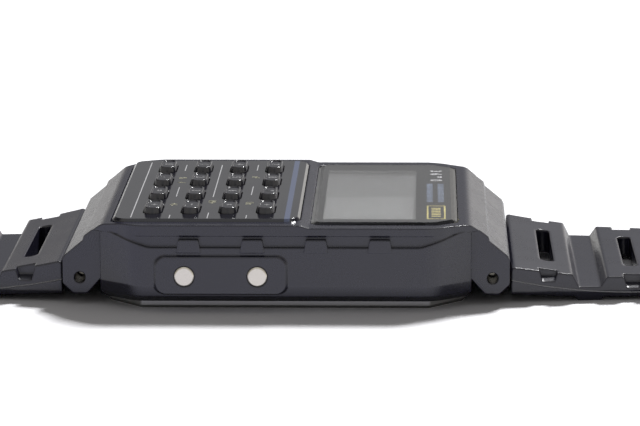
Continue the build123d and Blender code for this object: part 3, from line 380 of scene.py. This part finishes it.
# The case back's steel is darker than the other steel as painted shade, for the shadow under the case.
dress(metal("shade-darkened back steel", (0.30, 0.30, 0.30), 0.42, 0), "case_back")
dress(metal("buckle steel", (0.58, 0.57, 0.55), 0.24, 1), "buckle_frame", "buckle_tongue")
dress(moulded("seal rubber", (0.03, 0.03, 0.03), 0.6, edge=0.04), "case_back_gasket", "lens_seal",
      "pusher_ring_adjust", "pusher_ring_mode", "zebra_strips")
dress(moulded("mat silicone", (0.4, 0.4, 0.38), 0.5), "key_mat")
dress(moulded("board laminate", (0.03, 0.16, 0.07), 0.35), "circuit_board")
dress(moulded("frame plastic", (0.06, 0.06, 0.065), 0.5), "module_frame")
dress(moulded("chip resin", (0.012, 0.012, 0.012), 0.4), "logic_chip", "chip_components")
dress(metal("spring brass", (0.78, 0.58, 0.28), 0.3, 0), "piezo_disc", "battery_contact", "side_contacts")
dress(moulded("insulator film", (0.6, 0.4, 0.08), 0.3), "insulator_sheet")

white_ink = ink("white ink", (0.45, 0.45, 0.47))
key_ink = ink("key ink", (0.26, 0.26, 0.27))
pale_ink = ink("pale ink", (0.34, 0.33, 0.24))
yellow_ink = ink("yellow ink", (0.42, 0.36, 0.08))
blue_ink = ink("blue ink", (0.02, 0.045, 0.10))


def settle(piece, material, body):
    """Gives a new piece its finish, body and material slot."""
    piece.data.materials.clear()
    piece.data.materials.append(material)
    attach(piece, body)


def marks(name, blocks, level, material, body):
    """Thin printed blocks, given as (x0, x1, y0, y1), on a level face."""
    bpy.ops.object.select_all(action="DESELECT")
    made = []
    for x0, x1, y0, y1 in blocks:
        middle = ((x0 + x1) / 2 * MM, (y0 + y1) / 2 * MM, level * MM)
        bpy.ops.mesh.primitive_plane_add(size=1, location=middle)
        made.append(bpy.context.object)
        made[-1].scale = ((x1 - x0) * MM, (y1 - y0) * MM, 1)
    for block in made:
        block.select_set(True)
    bpy.ops.object.join()
    bpy.ops.object.transform_apply(location=True, rotation=True, scale=True)
    piece = bpy.context.object
    piece.name = name
    coat = piece.modifiers.new("coat", "SOLIDIFY")
    coat.thickness, coat.offset = ink_height * MM, 1
    bpy.ops.object.modifier_apply(modifier=coat.name)
    settle(piece, material, body)


def figure(name, text, size, x, y, level, material, body):
    """A printed numeral or sign that reads with 12 o'clock upwards, its middle at x, y."""
    boldness = 0.03
    bpy.ops.object.select_all(action="DESELECT")
    bpy.ops.object.text_add(location=(0, 0, 0))
    piece = bpy.context.object
    piece.name = name
    piece.data.body = text
    piece.data.size = size * MM
    piece.data.align_x, piece.data.align_y = "CENTER", "CENTER"
    piece.data.extrude = ink_height * MM / 2
    piece.data.offset = boldness * size * MM
    bpy.ops.object.convert(target="MESH")
    turn = Matrix.Translation((x * MM, y * MM, level * MM)) @ Matrix.Rotation(-math.pi / 2, 4, "Z")
    piece.data.transform(turn)
    settle(piece, material, body)


def return_spring(name):
    """The coil behind a pusher, which on the watch shortens as the pusher goes in; this welded, smoothed copy stays
    fixed to the case.
    """
    weld, crease = 0.001 * MM, math.radians(40)
    bpy.ops.object.select_all(action="DESELECT")
    piece = bpy.data.objects.new("return_spring_" + name, nodes["pusher_spring_" + name].data.copy())
    bpy.context.collection.objects.link(piece)
    bpy.context.view_layer.objects.active = piece
    piece.select_set(True)
    bpy.ops.object.mode_set(mode="EDIT")
    bpy.ops.mesh.select_all(action="SELECT")
    bpy.ops.mesh.remove_doubles(threshold=weld)
    bpy.ops.object.mode_set(mode="OBJECT")
    bpy.ops.object.shade_smooth_by_angle(angle=crease)
    settle(piece, turned_steel, "case")
    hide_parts("pusher_spring_" + name)
    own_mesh(piece)


def print_dial():
    """The marks on the dial plate beside the display: plain numerals, two columns of bars and a framed block."""
    numeral_x, numeral_size = 14.5, 1.6
    for text, y in (("3", 11.9), ("6", 10.3), ("9", 8.7), ("0", 7.1)):
        figure("dial_numeral_%d" % round(y), text, numeral_size, numeral_x, y, dial_top, white_ink, "case")

    columns_from, bar_width, bar_gap = -3.9, 0.6, 0.17
    columns = ((13.6, (1.1, 0.9, 1.4, 0.8, 1.6, 1.0, 1.3)), (14.7, (0.9, 1.5, 0.8, 1.2, 1.1, 1.7, 0.9)))
    bars = []
    for x, lengths in columns:
        y = columns_from
        for length in lengths:
            bars.append((x, x + bar_width, y, y + length))
            y += length + bar_gap
    marks("dial_marks_blue", bars, dial_top, blue_ink, "case")

    frame_x, frame_y, side_width, end_width = (13.6, 15.43), (-12.0, -5.7), 0.16, 0.2
    inner_x = frame_x[0] + side_width, frame_x[1] - side_width
    block_x, block_from, block_pitch, block_height, blocks = (14.05, 14.95), -10.9, 0.75, 0.4, 6
    framed = [(frame_x[0], inner_x[0], *frame_y), (inner_x[1], frame_x[1], *frame_y),
              (*inner_x, frame_y[0], frame_y[0] + end_width), (*inner_x, frame_y[1] - end_width, frame_y[1])]
    for i in range(blocks):
        y = block_from + block_pitch * i
        framed.append((*block_x, y, y + block_height))
    marks("dial_marks_yellow", framed, dial_top, yellow_ink, "case")


def print_keys():
    """The numeral or sign on each key cap, in the dish of its top."""
    numeral_size, dish_depth = 1.15, 0.1
    signs = {"divide": "÷", "times": "×", "minus": "−", "plus": "+", "point": "·", "equals": "="}
    for name in key_names:
        low, high = box_mm(name)
        word = name[len("key_"):]
        figure("numeral_" + word, signs.get(word, word), numeral_size, (low[0] + high[0]) / 2,
               (low[1] + high[1]) / 2, high[2] - dish_depth, key_ink, name + "_cap")


def print_panel():
    """Pale second signs on the panel between the columns of keys."""
    sign_size = 1.05
    signs = (("%", -11.2, 5.4), ("√", -11.2, 3.1), ("+/-", -11.2, -7.9), ("x²", -3.8, 5.8), ("1/x", -3.8, -7.2),
             ("M+", -7.5, -6.7))
    for i, (text, x, y) in enumerate(signs, 1):
        figure("second_sign_%d" % i, text, sign_size, x, y, panel_top, pale_ink, "case")


return_spring("adjust")
return_spring("mode")
print_dial()
print_keys()
print_panel()


def lay_floor():
    """The pale table. Reflected rays see its open part in front of the watch as evenly bright."""
    floor_size = 12  # metres
    shaded, shown = (0.75, 0.75, 0.75, 1), (1.12, 1.12, 1.15, 1)
    left, right = (-40, (0.80, 0.80, 0.95, 1)), (40, (0.96, 0.96, 1, 1))
    open_from, fade = -17.0, 2
    bpy.ops.object.select_all(action="DESELECT")
    bpy.ops.mesh.primitive_plane_add(size=floor_size)
    floor = bpy.context.object
    floor.name = "floor"

    f = Finish("floor paper")
    camera, glossy, transmission = f.rays("Camera", "Glossy", "Transmission")
    x, y, _ = f.place()
    tint = f.colour(((x - left[0]) / (right[0] - left[0])).clamped(), left[1], right[1])
    mirrored = f.node("Emission", {}, {"Color": tint, "Strength": 1.0})
    paper = f.mixed(camera.most(transmission), f.node("BsdfDiffuse", {}, {"Color": shaded}),
                    f.node("BsdfDiffuse", {}, {"Color": shown}))
    in_open = ((open_from - y) / fade).clamped()
    floor.data.materials.append(f.surface(f.mixed(glossy * in_open, paper, mirrored)))


def light_world():
    """White for the camera, an even fill for matt surfaces, and for reflected rays the zones of the photo's room.

    The zones go by the direction that a ray leaves in: x to the camera's right, y away from it and z up.
    """
    fill, warm_white = 0.17, (1, 0.97, 0.93, 1)
    # Straight behind the watch: a dim glow, brightest a little above the horizon
    centre_x, centre_half, centre_fade = -0.03, 0.11, 0.06
    dim, glow, glow_z, glow_half = 0.05, 0.37, 0.2, 0.06
    # At either side: brighter, most of all at the right, and fading upwards
    side, side_more, more_over, side_fade = 0.76, 0.24, 0.1, 0.19
    # High above, and low in front for the grooves that face the camera
    top, top_from, top_fade = 0.6, 0.75, 0.15
    front, front_from, front_fade, front_low, low_fade = 0.5, 0.1, 0.3, -0.05, 0.2
    # Both zones at the horizon lose light from back to front
    kept, back_from, back_over = 0.35, -0.3, 0.6

    world = bpy.data.worlds.new("studio")
    bpy.context.scene.world = world
    w = Finish("studio", world)
    x, y, z = w.split(w.node("TexCoord", out="Generated"))
    camera, glossy = w.rays("Camera", "Glossy")
    aside = ((abs(x - centre_x) - centre_half) / centre_fade).clamped()
    middle = dim + glow / (1 + ((z - glow_z) / glow_half) ** 2)
    sides = (side + side_more * (x / more_over).clamped()) / (1 + (z / side_fade) ** 2)
    overhead = ((z - top_from) / top_fade).clamped() * top
    behind = kept + (1 - kept) * ((y - back_from) / back_over).clamped()
    before = ((front_from - y) / front_fade).clamped() * ((z - front_low) / low_fade).clamped() * front
    mirrored = (middle + (sides - middle) * aside) * behind + overhead.most(before)
    strength = camera.most(fill + (mirrored - fill) * glossy)
    tint = w.colour(camera.most(1 - aside), warm_white, WHITE)
    w.node("OutputWorld", {}, {"Surface": w.node("Background", {}, {"Color": tint, "Strength": strength})})


def hang_lamp():
    """One broad lamp behind, above and to the right, aimed at the watch."""
    way, distance = Vector((0.37, 0.61, 0.85)).normalized(), 0.9  # metres
    bpy.ops.object.light_add(type="AREA", location=way * distance)
    lamp = bpy.context.object
    lamp.name, lamp.data.size, lamp.data.energy = "broad lamp", 0.17, 9.6
    lamp.rotation_euler = (-way).to_track_quat("-Z", "Y").to_euler()


def place_camera():
    """The camera as it was fitted to the photo: its place in metres and its three directions."""
    right, up, ahead = (0.99958, 0.02879, -0.00379), (-0.00218, 0.20448, 0.97887), (-0.02895, 0.97845, -0.20446)
    bpy.ops.object.camera_add(location=(0.0130900, -0.3435863, 0.0780235))
    camera = bpy.context.object
    turn = Matrix((right, up, [-a for a in ahead])).transposed()
    camera.rotation_euler = turn.to_euler()
    camera.data.lens = 197.24
    camera.data.sensor_width = 36
    camera.data.clip_start, camera.data.clip_end = 0.01, 20
    bpy.context.scene.camera = camera
    bpy.context.scene.view_settings.view_transform = "Standard"


lay_floor()
light_world()
hang_lamp()
place_camera()
